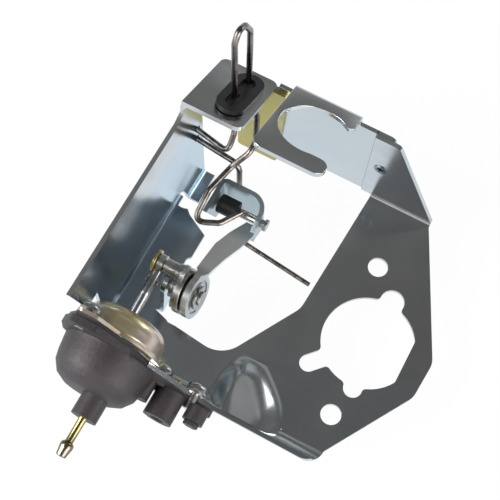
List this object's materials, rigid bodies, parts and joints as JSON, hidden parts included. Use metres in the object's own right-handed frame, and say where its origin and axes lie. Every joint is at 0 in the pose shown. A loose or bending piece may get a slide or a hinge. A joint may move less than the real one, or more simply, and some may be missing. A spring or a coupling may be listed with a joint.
{
  "type": "throttle control bracket",
  "caption": "Bent zinc-plated throttle bracket with stud flange, cable hook, grommet tab and bail wire; a vacuum actuator's pull rod moves with a sprung, pivoting throttle lever.",
  "frame": {"origin": "centre of the carburettor throat on the base plate's underside", "axes": "+Z out of the base plate towards the tabs and the lever, +X away from the tall left wall, +Y towards the cable side, -Y towards the actuator"},
  "size_m": [0.1087, 0.1362, 0.0989],
  "materials": {
    "zinc_sheet": "satin zinc plating",
    "zinc_lever": "satin zinc plating",
    "black_rubber": "matte",
    "dark_wire": "satin",
    "die_cast": "sand-cast texture, matte",
    "chromate": "yellow chromate, satin",
    "brass": "satin",
    "steel": "satin"
  },
  "bodies": {
    "bracket": {"main_bracket": "zinc_sheet", "cable_bracket": "zinc_sheet", "clinch_rivet": "zinc_sheet", "stop_plate": "chromate", "grommet": "black_rubber", "bail_wire": "dark_wire", "anchor_wire": "dark_wire", "diaphragm_cap": "die_cast", "port_plug": "die_cast", "vacuum_nipple": "brass", "dome_cover": "chromate", "diaphragm": "black_rubber", "return_spring": "dark_wire", "flange_screws": "steel", "screw_washers": "steel", "brass_rivet": "brass", "pivot_stud": "steel", "pivot_clip": "steel", "torsion_spring": "dark_wire"},
    "lever": {"hub_spool": "steel", "crank_plate": "zinc_lever", "crank_pin": "steel", "crank_washer": "brass", "crank_clip": "steel", "throttle_lever": "zinc_lever", "lever_pin": "steel", "rubber_bush": "black_rubber", "link_rod": "dark_wire"},
    "plunger": {"pull_rod": "steel", "rod_pin": "steel", "diaphragm_plate": "steel"}
  },
  "joints": [
    {"name": "lever_turn", "type": "hinge", "parent": "bracket", "child": "lever", "pos_m": [-0.0575, -0.0175, 0.0165], "axis": [1, 0, 0], "range_deg": [-20, 0], "stiffness_Nm_per_rad": 0.02, "springref_deg": 57.3},
    {"name": "rod_slide", "type": "slide", "parent": "bracket", "child": "plunger", "axis": [0, 1, 0], "range_m": [0, 0.0023], "deforming": ["return_spring"]}
  ],
  "couplings": [
    {"joint": "rod_slide", "follows": "lever_turn", "m_per_rad": -0.006446}
  ]
}
